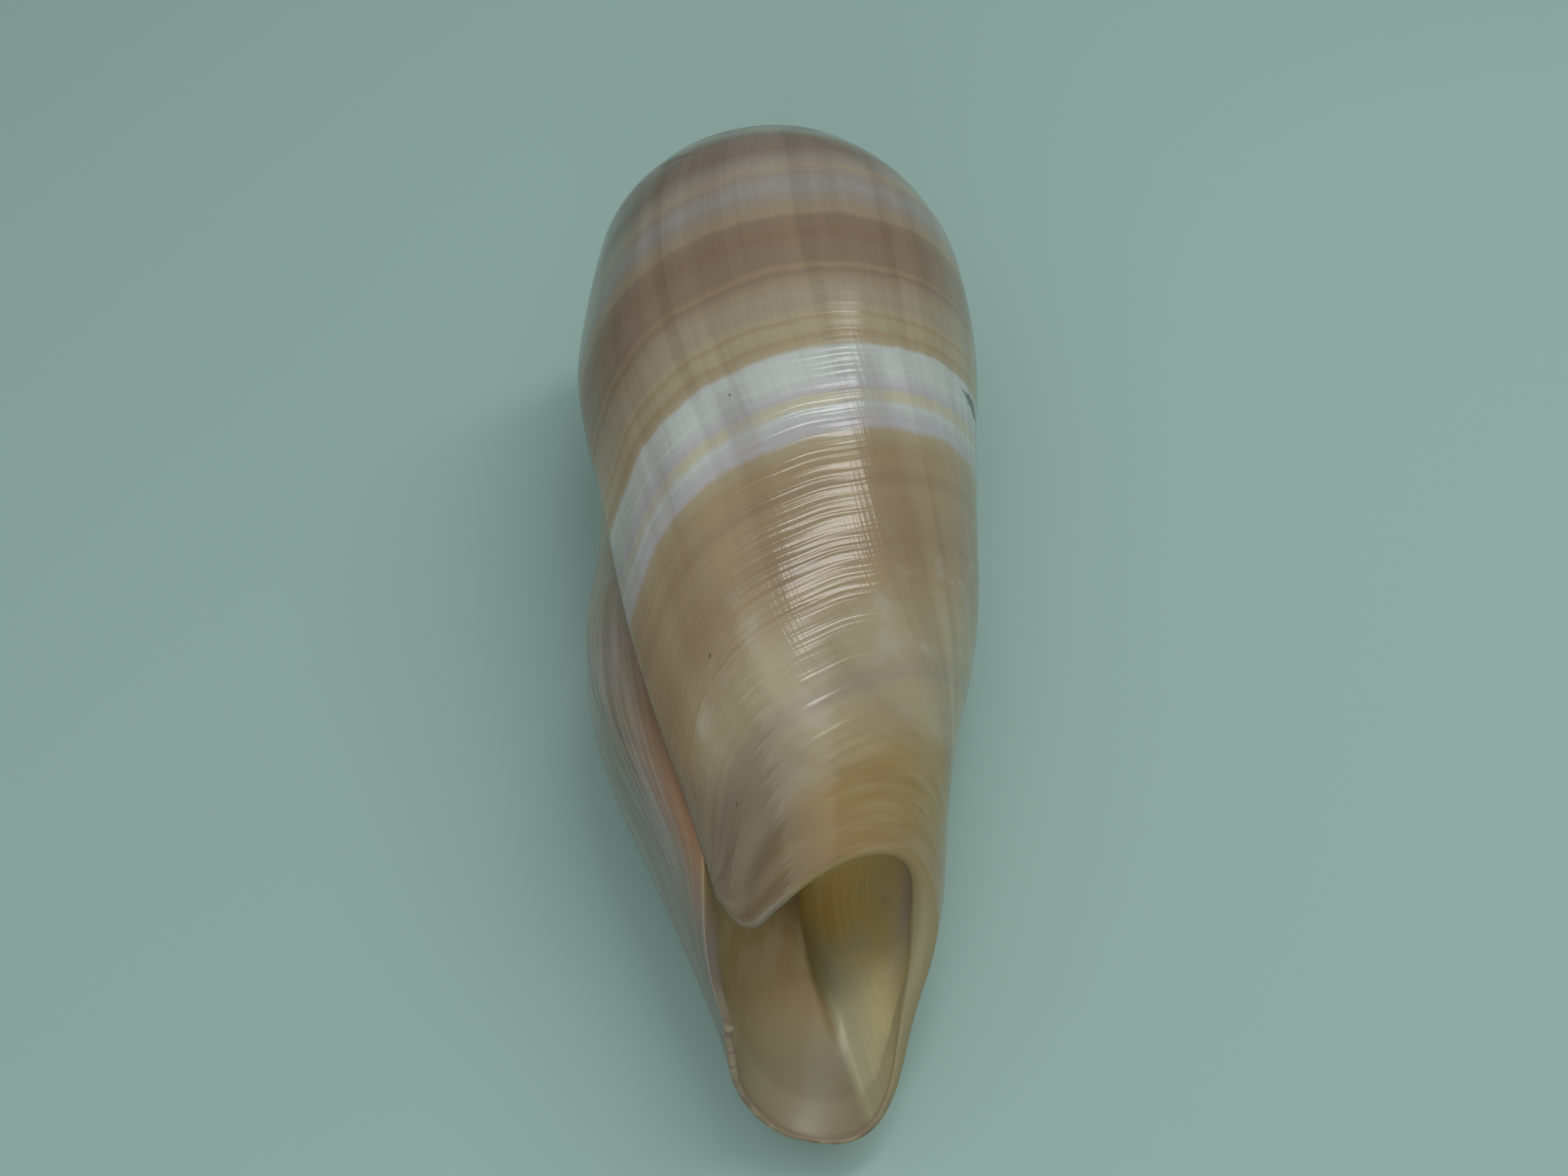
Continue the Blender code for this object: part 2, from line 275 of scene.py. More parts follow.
def columella_face(age, depth):
    """The glazed face: nearly straight from the inner lip's edge to a ridge along the columella's right."""
    fold = curve_through(COLUMELLA_FOLD, depth)
    pad = COLUMELLA_PAD * ease((COLUMELLA_END - depth) / COLUMELLA_PAD_LENGTH)
    edge = place(lip_angle(depth) - front_age(WHORL, depth), front_radius(WHORL, depth), depth)
    foot = place(lip_angle(depth) - fold, free_radius(fold, depth) - WALL_THICKNESS - pad, depth)
    across = np.clip((WHORL - age) / (WHORL - fold), 0.0, COLUMELLA_FACE_LIMIT)
    sag = COLUMELLA_SAG * np.sin(np.pi * np.clip(across, 0.0, 1.0))
    face = blend(edge, foot, across)
    face[..., 1] -= sag
    return face


def core_points(step_age, depth):
    """The floor of the aperture. step_age runs from 0 under the lip to 180 at the slot's end."""
    gap = free_radius(0.0, depth) - EDGE_THICKNESS - (free_radius(WHORL, depth) - tuck(depth))
    narrowing = np.cos(np.radians(step_age) / 2.0)
    radius = free_radius(step_age, depth) - wall(step_age, depth) - gap * narrowing
    behind = place(lip_angle(depth) - step_age, radius, depth)
    age = WHORL - step_age
    thickness = wall(age, depth) * ease(step_age / COLUMELLA_THICKENS)
    front = place(lip_angle(depth) - front_age(age, depth), front_radius(age, depth) - thickness, depth)
    fold = curve_through(COLUMELLA_FOLD, depth)
    behind_rim = ease((COLUMELLA_END - depth) / COLUMELLA_PAD_LENGTH)
    behind_rim = behind_rim * ease((margin_depth(age) - depth) / COLUMELLA_RIM)
    glazed = behind_rim * ease((age - fold) / COLUMELLA_FOLD_WIDTH + 0.5)
    front = blend(front, columella_face(age, depth), glazed)
    return blend(behind, front, trough_share(depth))


def wall_points(age, depth):
    """Inside of the last whorl, ages 0 to 180: the free radius less the wall."""
    return place(lip_angle(depth) - age, free_radius(age, depth) - wall(age, depth), depth)


class Patchwork:
    """Grids of points that become one mesh. Points carry the values that the material reads, which
    growth_values lists."""

    def __init__(self):
        self.points = np.zeros((0, 3))
        self.growth = np.zeros((0, 2 * len(GROWTH_MAPS)))
        self.quads = []
        self.welds = []

    def add(self, points, growth):
        """Adds a grid and gives its point numbers in the grid's own shape."""
        start = len(self.points)
        self.points = np.concatenate([self.points, points.reshape(-1, 3)])
        self.growth = np.concatenate([self.growth, growth.reshape(len(self.points) - start, -1)])
        return np.arange(start, len(self.points)).reshape(points.shape[:-1])

    def faces(self, index):
        """Quads between neighbouring rows and columns, each one round its four corners."""
        corners = [index[:-1, :-1], index[:-1, 1:], index[1:, 1:], index[1:, :-1]]
        self.quads.append(np.stack(corners, axis=-1).reshape(-1, 4))

    def fan(self, index, centre):
        """Triangles from a row of points to one centre."""
        self.faces(np.stack([index, np.full(len(index), centre)]))

    def weld(self, kept, gone):
        self.welds.append((np.ravel(kept), np.ravel(gone)))

    def mesh(self, name, to_world):
        """One mesh with welded points, and the growth values on its face corners as UV maps."""
        target = np.arange(len(self.points))
        for kept, gone in self.welds:
            target[gone] = target[kept]
        faces = np.concatenate(self.quads)
        used, real = np.unique(target[faces], return_inverse=True)
        real = real.reshape(faces.shape)
        keep = np.ones(real.shape, bool)
        for a in range(1, 4):
            keep[:, a] = (real[:, a, None] != real[:, :a]).all(axis=1)
        keep &= (keep.sum(axis=1) > 2)[:, None]
        sides = keep.sum(axis=1)
        sides = sides[sides > 0]
        data = bpy.data.meshes.new(name)
        data.vertices.add(len(used))
        data.vertices.foreach_set("co", to_world(self.points[used]).astype(np.float32).ravel())
        data.loops.add(int(sides.sum()))
        data.loops.foreach_set("vertex_index", real[keep].astype(np.int32))
        data.polygons.add(len(sides))
        data.polygons.foreach_set("loop_start", (np.cumsum(sides) - sides).astype(np.int32))
        data.update(calc_edges=True)
        values = self.growth[faces[keep]].astype(np.float32)
        for number, layer in enumerate(GROWTH_MAPS):
            pair = values[:, 2 * number:2 * number + 2]
            data.uv_layers.new(name=layer).uv.foreach_set("vector", pair.ravel())
        return data


def band_depth(age, depth):
    """The depth that a marking would have at age 100: bands drop towards the base near the lip, by a curve of
    age that is larger for bands nearer the base. Solved by putting the result back in until it settles."""
    drop = curve_through(BAND_DROP, age)
    band = depth + 0.0 * age
    for _ in range(BAND_ROUNDS):
        band = depth - drop * curve_through(BAND_DROP_SCALE, band)
    return band


def deposit_age(age, rim):
    """Age along a growth line: the age itself, drawn to 0 near the front margin by a soft minimum of 1 and
    the distance from the margin, so that the lines turn and run along the notch."""
    near = np.exp(-1.0 / RIM_SOFTNESS) + np.exp(-np.maximum(rim, 0.0) / RIM_REACH / RIM_SOFTNESS)
    return -age * RIM_SOFTNESS * np.log(near)


def tip_fan(age, rim):
    """Lines that fan out from the tip of the lip and run on along the notch: the logarithm of the distance
    from the margin, stretched where the age is small."""
    fan = np.maximum(rim, 0.0) * (1.0 + TIP_FAN_AGE / (np.abs(age) + TIP_FAN_OFFSET))
    return FAN_REACH * np.log(1.0 + fan / FAN_REACH)


def growth_values(age, depth, loop, ramp=0.0, cap=0.0):
    """What the material reads, as pairs for the UV maps in GROWTH_MAPS: age and depth; place round the
    sheet's loop and distance from the front margin; band depth and deposit age; angle past the
    columella's fold and share of the spire's ramp; fan round the lip's tip and how far round the rim's
    cap. Angles are given in whorls, lengths in centimetres."""
    age, depth, loop, ramp, cap = np.broadcast_arrays(age, depth, loop, ramp, cap)
    rim = margin_depth(np.clip(age, 0.0, WHORL)) - depth
    fold = age - curve_through(COLUMELLA_FOLD, depth)
    values = [
        age / WHORL, depth / MM_PER_CM, loop / WHORL, rim / MM_PER_CM,
        band_depth(age, depth) / MM_PER_CM, deposit_age(age, rim) / WHORL, fold / WHORL, ramp,
        tip_fan(age, rim) / MM_PER_CM, cap,
    ]
    return np.stack(values, axis=-1)


def lip_edge(inner, outer, inner_depth, outer_depth):
    """Columns between the wall's inside and outside along the lip, bulging past it as half an ellipse."""
    t = (np.arange(1, EDGE_COLUMNS) / EDGE_COLUMNS)[None, :, None]
    turn = 0.5 - 0.5 * np.cos(np.pi * t)
    past = np.cross(outer - inner, [0.0, 0.0, 1.0])[:, None]
    points = inner[:, None] * (1.0 - turn) + outer[:, None] * turn - LIP_BULGE * past * np.sin(np.pi * t)
    depth = inner_depth[:, None] * (1.0 - turn[..., 0]) + outer_depth[:, None] * turn[..., 0]
    return points, growth_values(0.0, depth, 2.0 * WHORL)


def add_sheet(work):
    """The sheet below the shoulder, as rows that run round a loop: outside from the lip, aperture floor,
    inside of the wall and lip edge."""
    n = AGES_PER_WHORL
    whole = np.linspace(0.0, WHORL, n + 1)[None, :]
    half = whole[:, : n // 2 + 1]
    down = np.linspace(0.0, 1.0, ROWS + 1)[:, None]
    outer_top = shoulder_depth(whole)
    outer_depth = outer_top + (margin_depth(whole) - outer_top) * down
    outer = outer_points(whole, outer_depth)
    below = ease(half / CEILING_STEEPENS)
    core_top = shoulder_depth(WHORL) * (1.0 - below) + (shoulder_depth(half) + CEILING) * below
    core_depth = core_top + (margin_depth(WHORL - half) - core_top) * down
    core = core_points(half, core_depth)
    wall_top = shoulder_depth(half) + CEILING * (CEILING_AT_LIP + (1.0 - CEILING_AT_LIP) * below)
    wall_depth = wall_top + (margin_depth(half) - wall_top) * down
    inner = wall_points(half, wall_depth)
    edge, edge_growth = lip_edge(inner[:, 0], outer[:, 0], wall_depth[:, 0], outer_depth[:, 0])
    points = np.concatenate([outer, core[:, 1:], inner[:, -2::-1], edge], axis=1)
    growth = np.concatenate([
        growth_values(whole, outer_depth, whole),
        growth_values(WHORL - half, core_depth, WHORL + half)[:, 1:],
        growth_values(half, wall_depth, 2.0 * WHORL - half)[:, -2::-1],
        edge_growth,
    ], axis=1)
    index = work.add(points, growth)
    closing = work.add(points[:, :1], growth_values(0.0, outer_depth[:, :1], 2.0 * WHORL))
    work.weld(index[:, :1], closing)
    work.faces(np.concatenate([index, closing], axis=1))
    return index


def add_front(work, index):
    """The front margin: half a tube from the outside's last row to the inside's, bulging forwards."""
    n = AGES_PER_WHORL
    outer = index[-1, : n + 1]
    inner = index[-1, n: 2 * n + 1][::-1]
    t = np.linspace(0.0, 1.0, EDGE_COLUMNS + 1)[:, None, None]
    turn = 0.5 - 0.5 * np.cos(np.pi * t)
    first, last = work.points[outer], work.points[inner]
    rows = first * (1.0 - turn) + last * turn
    rows[..., 2] += CAP_BULGE * np.linalg.norm(last - first, axis=-1) * np.sin(np.pi * t[..., 0])
    age = np.linspace(0.0, WHORL, n + 1)[None, :]
    cap = work.add(rows, growth_values(age, margin_depth(age), age, 0.0, np.sin(np.pi * t[..., 0])))
    work.weld(outer, cap[0])
    work.weld(inner, cap[-1])
    work.weld(np.full(EDGE_COLUMNS - 1, outer[-1]), cap[1:-1, -1])
    work.weld(index[-1, 2 * n + 1:], cap[1:-1][::-1, 0])
    work.faces(cap)


def add_ceiling(work, index):
    """The slot's end under the shoulder: a strip from the aperture's floor to the wall's inside."""
    n = AGES_PER_WHORL
    h = n // 2
    work.faces(np.stack([index[0, n: n + h + 1], index[0, n + h: 2 * n + 1][::-1]]))


def add_spire(work, index):
    """The stepped spire: a ramp from each suture out to the next shoulder, sagging as half a sine, and a fan
    at the tip."""
    n = AGES_PER_WHORL
    turns = (SPIRE_WHORLS - 1) * n
    age = np.arange(SPIRE_WHORLS * n + 1) * WHORL / n
    line = place(lip_angle(SHOULDER_DEPTH) - age, SHOULDER_RADIUS * shrink(age), shoulder_depth(age))
    t = np.linspace(0.0, 1.0, RAMP_COLUMNS + 1)[None, :]
    ramp = line[: turns + 1, None] * (1.0 - t[..., None]) + line[n:, None] * t[..., None]
    ramp[..., 2] += RAMP_SAG * shrink(age[: turns + 1])[:, None] * np.sin(np.pi * t)
    ramp_age = age[: turns + 1, None]
    ramp_depth = shoulder_depth(ramp_age) - RAMP_WIDTH * shrink(ramp_age) * t
    ramp_index = work.add(ramp, growth_values(ramp_age, ramp_depth, 0.0, t))
    work.weld(index[0, : n + 1], ramp_index[: n + 1, 0])
    work.weld(ramp_index[n:, 0], ramp_index[: turns + 1 - n, -1])
    work.faces(ramp_index)
    fan_age = age[turns:, None]
    fan = np.stack([line[turns:], np.zeros((n + 1, 3))], axis=1)
    fan_index = work.add(fan, growth_values(fan_age, np.array([[0.0, 0.0]]), 0.0, np.array([[0.0, 1.0]])))
    work.weld(ramp_index[turns - n:, -1], fan_index[:, 0])
    work.weld(np.full(n, fan_index[0, 1]), fan_index[1:, 1])
    work.faces(fan_index)
    work.fan(ramp_index[-1], fan_index[0, 1])
    lip_top = index[0, 2 * n:]
    work.fan(ramp_index[0], lip_top[0])
    work.fan(np.concatenate([lip_top[1:], index[0, :1]]), lip_top[0])


def shell_patchwork():
    work = Patchwork()
    index = add_sheet(work)
    add_front(work, index)
    add_ceiling(work, index)
    add_spire(work, index)
    return work


def laid_down(points):
    """Points turned from the shell's own axes to the way it lies, in metres: centred on the solid's box and
    flat where they would go below the surface it rests on."""
    droop = math.radians(BASE_DROOP)
    right, up, front = points.T
    turned = np.stack([
        right,
        -up * math.sin(droop) - front * math.cos(droop),
        up * math.cos(droop) - front * math.sin(droop),
    ], axis=1)
    low, high = turned.min(axis=0), turned.max(axis=0)
    middle = (low + high) / 2.0
    placed = (turned - [middle[0], middle[1], low[2] + FLAT_CUT]) * MM
    placed[:, 2] = np.maximum(placed[:, 2], 0.0)
    return placed


def outward(data):
    """Turns every face the same way round, pointing out of the closed shell."""
    solid = bmesh.new()
    solid.from_mesh(data)
    bmesh.ops.recalc_face_normals(solid, faces=solid.faces)
    solid.to_mesh(data)
    solid.free()
    data.shade_smooth()


class Wiring:
    """Short names for the shader nodes used here. Each call adds a node to the tree and gives its output."""

    def __init__(self, tree):
        self.tree = tree

    def node(self, kind, inputs=(), output=0, **settings):
        node = self.tree.nodes.new(kind)
        for name, value in settings.items():
            setattr(node, name, value)
        for socket, value in dict(inputs).items():
            if isinstance(value, bpy.types.NodeSocket):
                self.tree.links.new(value, node.inputs[socket])
            else:
                node.inputs[socket].default_value = value
        return node.outputs[output]

    def pair(self, layer, *scales):
        """The two values of one of the shell's UV maps, each times its scale."""
        place = self.node("ShaderNodeUVMap", uv_map=layer)
        split = self.node("ShaderNodeSeparateXYZ", {0: place}).node
        return [self.math("MULTIPLY", value, scale) for value, scale in zip(split.outputs, scales)]

    def math(self, operation, a, b=0.0, c=0.0):
        return self.node("ShaderNodeMath", {0: a, 1: b, 2: c}, operation=operation)

    def total(self, *values):
        result = values[0]
        for value in values[1:]:
            result = self.math("ADD", result, value)
        return result

    def product(self, *values):
        result = values[0]
        for value in values[1:]:
            result = self.math("MULTIPLY", result, value)
        return result

    def rise(self, value, low, high):
        """0 at low and 1 at high, or the other way round where low is the greater."""
        ends = {0: value, 1: min(low, high), 2: max(low, high)}
        ends.update({3: 0.0, 4: 1.0} if high > low else {3: 1.0, 4: 0.0})
        return self.node("ShaderNodeMapRange", ends, interpolation_type="SMOOTHSTEP")

    def between(self, value, low, full, fading, gone):
        """0 up to low, 1 from full to fading, and 0 again from gone."""
        return self.product(self.rise(value, low, full), self.rise(value, gone, fading))

    def bell(self, value, middle, width):
        """1 in the middle, falling to 0 half a width away on either side."""
        away = self.math("ABSOLUTE", self.math("SUBTRACT", value, middle))
        return self.rise(away, width / 2.0, 0.0)

    def spot(self, across, along, centre, widths):
        return self.product(self.bell(across, centre[0], widths[0]), self.bell(along, centre[1], widths[1]))

    def mix(self, share, a, b, blend="MIX"):
        inputs = {0: share, 6: colour(a), 7: colour(b)}
        return self.node("ShaderNodeMix", inputs, output=2, data_type="RGBA", blend_type=blend)

    def tint(self, colours, other, *shares):
        """The colours with another mixed in, as far as the product of the shares says."""
        return self.mix(self.product(*shares), colours, other)

    def vector(self, x, y, z=0.0):
        return self.node("ShaderNodeCombineXYZ", {0: x, 1: y, 2: z})

    def noise(self, vector, detail=2.0, roughness=0.5):
        inputs = {"Vector": vector, "Scale": 1.0, "Detail": detail, "Roughness": roughness}
        return self.node("ShaderNodeTexNoise", inputs)

    def rest(self, value):
        return self.math("SUBTRACT", 1.0, value)

    def swayed(self, value, noise, reach):
        """The value moved up or down by a noise around 0.5, times its reach."""
        return self.math("MULTIPLY_ADD", self.math("SUBTRACT", noise, 0.5), reach, value)

    def stretched(self, a, times_a, b, times_b, seed=0.0):
        return self.vector(self.math("MULTIPLY", a, times_a), self.math("MULTIPLY", b, times_b), seed)

    def clouds(self, a, times_a, b, times_b, seed=0.0, detail=2.0):
        """Noise over two values, each multiplied by its own factor."""
        return self.noise(self.stretched(a, times_a, b, times_b, seed), detail)

    def ramp(self, value, stops, low, high, interpolation="LINEAR"):
        """Colours or greys against a value that runs from low to high."""
        share = self.node("ShaderNodeMapRange", {0: value, 1: low, 2: high, 3: 0.0, 4: 1.0})
        out = self.node("ShaderNodeValToRGB", {0: share})
        band = out.node.color_ramp
        band.interpolation = interpolation
        while len(band.elements) < len(stops):
            band.elements.new(1.0)
        for element, (place, value) in zip(band.elements, stops):
            element.position = (place - low) / (high - low)
            element.color = colour((value, value, value) if isinstance(value, float) else value)
        return out


def colour(value):
    """A colour with its fourth value, or a socket as it is."""
    if isinstance(value, bpy.types.NodeSocket):
        return value
    return (value[0], value[1], value[2], 1.0)


def growth_line_group():
    """Uneven lines along one value, slowly changing along the other: noise drawn out into threads. Spacing is
    the distance between lines in the first value's units and Length how far one holds in the second's."""
    tree = bpy.data.node_groups.new("growth_lines", "ShaderNodeTree")
    for label in ("Across", "Along", "Spacing", "Length", "Seed"):
        tree.interface.new_socket(label, in_out="INPUT", socket_type="NodeSocketFloat")
    tree.interface.new_socket("Height", in_out="OUTPUT", socket_type="NodeSocketFloat")
    wiring = Wiring(tree)
    entry = tree.nodes.new("NodeGroupInput").outputs
    across = wiring.math("DIVIDE", entry["Across"], entry["Spacing"])
    along = wiring.math("DIVIDE", entry["Along"], entry["Length"])
    lines = wiring.noise(wiring.vector(across, along, entry["Seed"]), detail=1.0)
    exit_node = tree.nodes.new("NodeGroupOutput")
    tree.links.new(wiring.rise(lines, 0.3, 0.7), exit_node.inputs["Height"])
    return tree


# Bands of the outside, from the shoulder to the base: band depth in millimetres and the colour at it
SPIRE_SIDE_BANDS = (
    (3.0, "mauve"), (6.0, "mauve"), (7.5, "dark_mauve"), (8.6, "dark_mauve"), (10.0, "lilac"),
    (10.7, "cream_lilac"), (11.3, "lilac"), (12.3, "grey_lilac"), (13.2, "lilac"), (14.0, "cream"),
    (14.5, "cream"), (14.8, "brown"), (16.0, "red_brown"), (17.2, "brown"), (18.1, "brown"),
    (18.45, "dark_tan"), (18.8, "brown"), (19.3, "cream"), (20.2, "cream_lilac"), (21.0, "cream_lilac"),
    (21.55, "tan_cream"), (21.8, "tan"), (22.1, "tan_cream"), (22.7, "tan_cream"), (23.0, "tan"),
    (23.5, "tan_cream"),
)
BASE_SIDE_BANDS = (
    (23.6, "tan_cream"), (23.85, "white"), (25.5, "white"), (26.4, "pale_lilac"), (26.75, "yellow_cream"),
    (27.15, "yellow_cream"), (27.5, "white"), (28.3, "pale_lilac"), (28.75, "pale_lilac"),
    (29.2, "tan_cream"), (30.2, "tan"), (31.2, "tan"), (32.0, "dark_tan"), (32.8, "tan"),
    (35.8, "dark_tan"), (37.6, "tan"), (38.2, "tan"), (40.0, "tan_cream"), (42.0, "tan_cream"),
    (43.4, "cream_lilac"), (44.0, "tan_cream"), (46.5, "tan_cream"), (48.0, "fasciole"), (51.0, "fasciole"),
    (53.5, "dark_tan"), (56.0, "tan"),
)
BAND_SPLIT = 23.6

# Streaks where growth paused: deposit age in degrees and a shade, 0.5 being the bands' own
SPIRE_SIDE_STREAKS = (
    (0.0, 0.40), (10.0, 0.38), (22.0, 0.36), (32.0, 0.42), (36.0, 0.48), (39.0, 0.64), (41.0, 0.58),
    (43.0, 0.42), (45.0, 0.34), (46.5, 0.54), (49.0, 0.58), (50.0, 0.48), (51.5, 0.62), (53.5, 0.60),
    (54.5, 0.44), (62.0, 0.42), (68.0, 0.48), (72.0, 0.58), (77.0, 0.60), (82.2, 0.66), (83.2, 0.42),
    (87.0, 0.40), (89.0, 0.50), (94.0, 0.46), (99.0, 0.54), (106.0, 0.50), (107.5, 0.38), (110.0, 0.44),
    (111.0, 0.56), (115.0, 0.55), (118.0, 0.48), (150.0, 0.48),
)
BASE_SIDE_STREAKS = (
    (0.0, 0.22), (10.0, 0.34), (16.0, 0.46), (19.0, 0.38), (24.0, 0.44), (27.0, 0.36), (32.0, 0.48),
    (37.0, 0.66), (41.0, 0.70), (43.0, 0.52), (47.0, 0.54), (49.0, 0.42), (55.0, 0.40), (61.0, 0.50),
    (66.0, 0.60), (75.0, 0.62), (81.0, 0.58), (84.0, 0.42), (96.0, 0.40), (101.0, 0.60), (105.0, 0.64),
    (107.0, 0.44), (112.0, 0.54), (150.0, 0.50),
)
SPIRAL_RIBS = (38.3, 40.6, 42.0, 43.4, 45.1)
RIB_WIDTH = 0.5


def band_stops(bands, look):
    return [(place, getattr(look, name)) for place, name in bands]


def rib_stops():
    """A ramp that rises to 1 at each spiral rib and is 0 between them."""
    stops = []
    for place in SPIRAL_RIBS:
        stops += [(place - RIB_WIDTH / 2, 0.0), (place, 1.0), (place + RIB_WIDTH / 2, 0.0)]
    return stops


class Shell:
    """The values of the shell's surface, in degrees, millimetres and shares, and the shared line group."""

    def __init__(self, wiring):
        self.wiring = wiring
        self.age, self.depth = wiring.pair("growth", WHORL, MM_PER_CM)
        self.loop, self.rim = wiring.pair("place", 1.0, MM_PER_CM)
        self.band, self.deposit = wiring.pair("marking", MM_PER_CM, WHORL)
        self.fold, self.ramp = wiring.pair("fold", WHORL, 1.0)
        self.fan, cap = wiring.pair("edge", MM_PER_CM, 1.0)
        self.on_cap = wiring.rise(cap, 0.02, 0.3)
        self.line_tree = growth_line_group()
        self.on_core = wiring.between(self.loop, 0.985, 1.01, 1.95, 1.99)
        self.on_ramp = wiring.math("GREATER_THAN", self.ramp, 0.001)

    def lines(self, across, along, spacing, length, seed=0.0):
        values = dict(Across=across, Along=along, Spacing=spacing, Length=length, Seed=seed)
        return self.wiring.node("ShaderNodeGroup", values, node_tree=self.line_tree)


def outside_colour(shell, look):
    """Bands, then the streaks across them, then what is special to the lip's tip, the fasciole and the
    strip."""
    w = shell.wiring
    band = w.swayed(shell.band, w.clouds(shell.deposit, 0.12, shell.band, 0.3), look.band_sway)
    spire_side = w.ramp(band, band_stops(SPIRE_SIDE_BANDS, look), 3.0, 24.0)
    base_side = w.ramp(band, band_stops(BASE_SIDE_BANDS, look), 23.0, 56.0)
    colours = w.mix(w.rise(band, BAND_SPLIT - 0.1, BAND_SPLIT + 0.1), spire_side, base_side)
    streaks = streak_shade(shell)
    fine = shell.lines(shell.deposit, shell.band, 1.1, 9.0, 3.0)
    broad = shell.lines(shell.deposit, shell.band, 7.0, 14.0, 5.0)
    threads = shell.lines(shell.band, shell.deposit, 0.35, 60.0, 7.0)
    fine_share = w.math("MULTIPLY_ADD", w.rise(shell.band, 30.0, 20.0), 0.04, 0.05)
    shade = w.swayed(w.swayed(w.swayed(streaks, fine, fine_share), broad, 0.10), threads, 0.05)
    colours = w.mix(w.rise(shade, 0.55, 0.15), colours, w.mix(1.0, colours, look.streak_dark, "MULTIPLY"))
    in_white = w.bell(shell.band, 26.2, 6.5)
    contrast = w.math("MULTIPLY_ADD", in_white, 0.6 * look.streak_contrast, look.streak_contrast)
    colours = w.tint(colours, look.pale_lilac, in_white, w.rise(shade, 0.52, 0.42), 0.5)
    lightness = w.swayed(1.0, shade, contrast)
    colours = w.mix(1.0, colours, lightness, "MULTIPLY")
    cloud = w.clouds(shell.deposit, 0.06, shell.band, 0.35, 4.0, 3.0)
    near_base = w.between(shell.band, 33.0, 38.0, 44.0, 48.0)
    return w.tint(colours, look.cloud, w.rise(cloud, 0.52, 0.72), near_base, 0.5)


def streak_shade(shell):
    """The streaks seen from above as two ramps, one for each side of the white band, and lines of noise for
    the ages that lie underneath."""
    w = shell.wiring
    spire_side = w.ramp(shell.deposit, SPIRE_SIDE_STREAKS, 0.0, 150.0)
    base_side = w.ramp(shell.deposit, BASE_SIDE_STREAKS, 0.0, 150.0)
    seen = w.mix(w.rise(shell.band, 22.5, 25.5), spire_side, base_side)
    unseen = shell.lines(shell.deposit, shell.band, 4.0, 30.0, 11.0)
    unseen = w.math("MULTIPLY_ADD", unseen, 0.34, 0.33)
    share = w.rise(shell.deposit, 118.0, 150.0)
    return w.math("ADD", w.product(seen, w.rest(share)), w.product(unseen, share))


def tip_colour(shell, look, colours):
    """Grey-lilac and brown growth streaks towards the tip of the lip, and warm arcs on the fasciole."""
    w = shell.wiring
    tip = w.product(w.rise(shell.rim, 10.0, 5.0), w.rise(shell.age, 60.0, 30.0))
    tip_lines = shell.lines(shell.fan, shell.age, 2.2, 80.0, 13.0)
    tip_colours = w.mix(tip_lines, look.tip_dark, look.tip_light)
    colours = w.tint(colours, tip_colours, tip, 0.65)
    dark = w.spot(shell.age, shell.band, (14.0, 44.2), (40.0, 2.4))
    darker = w.spot(shell.age, shell.band, (28.0, 48.0), (46.0, 2.6))
    colours = w.tint(colours, look.tip_dark, w.math("MAXIMUM", dark, darker), 0.35)
    by_notch = w.product(w.rise(shell.age, 48.0, 70.0), w.rise(shell.loop, 0.55, 0.45))
    fasciole = w.product(w.rise(shell.rim, 8.5, 5.5), by_notch)
    arcs = shell.lines(shell.fan, shell.age, 0.5, 30.0, 17.0)
    arc_colours = w.mix(arcs, look.fasciole, look.fasciole_light)
    return w.tint(colours, arc_colours, fasciole, 0.6)


def strip_colour(shell, look, colours):
    """The belly beside the aperture: greyer, partly its own grey and partly painted shade of the belly that
    lies in shade, with dark fibres along the growth lines towards the base, and a salmon seam and a dark
    violet line along the inner lip.
    """
    w = shell.wiring
    belly = w.between(shell.loop, 0.62, 0.8, 0.985, 1.0)
    # Painted shade: the belly's bands are turned grey and cooler, partly its own grey and partly the shade
    # the belly lies in.
    strip = w.product(belly, w.rise(shell.depth, 26.0, 42.0))
    fibres = shell.lines(shell.age, shell.depth, 1.4, 9.0, 19.0)
    fibre_colours = w.mix(fibres, look.strip_dark, look.strip_grey_with_painted_shade)
    colours = w.tint(colours, fibre_colours, strip, 0.75)
    lip_depths = w.between(shell.depth, 34.0, 40.0, 50.0, 60.0)
    seam = w.product(w.bell(shell.loop, 0.99, 0.08), lip_depths)
    colours = w.tint(colours, look.salmon, seam, 0.9)
    # Painted shade: a dark violet-grey line where the belly meets the columella's face, partly its bluish
    # tint and partly painted shade of the seam.
    violet_and_painted_seam_shade = w.product(w.bell(shell.loop, 0.995, 0.05), w.rise(shell.depth, 52.0, 57.0))
    return w.tint(colours, look.violet, violet_and_painted_seam_shade, 0.8)


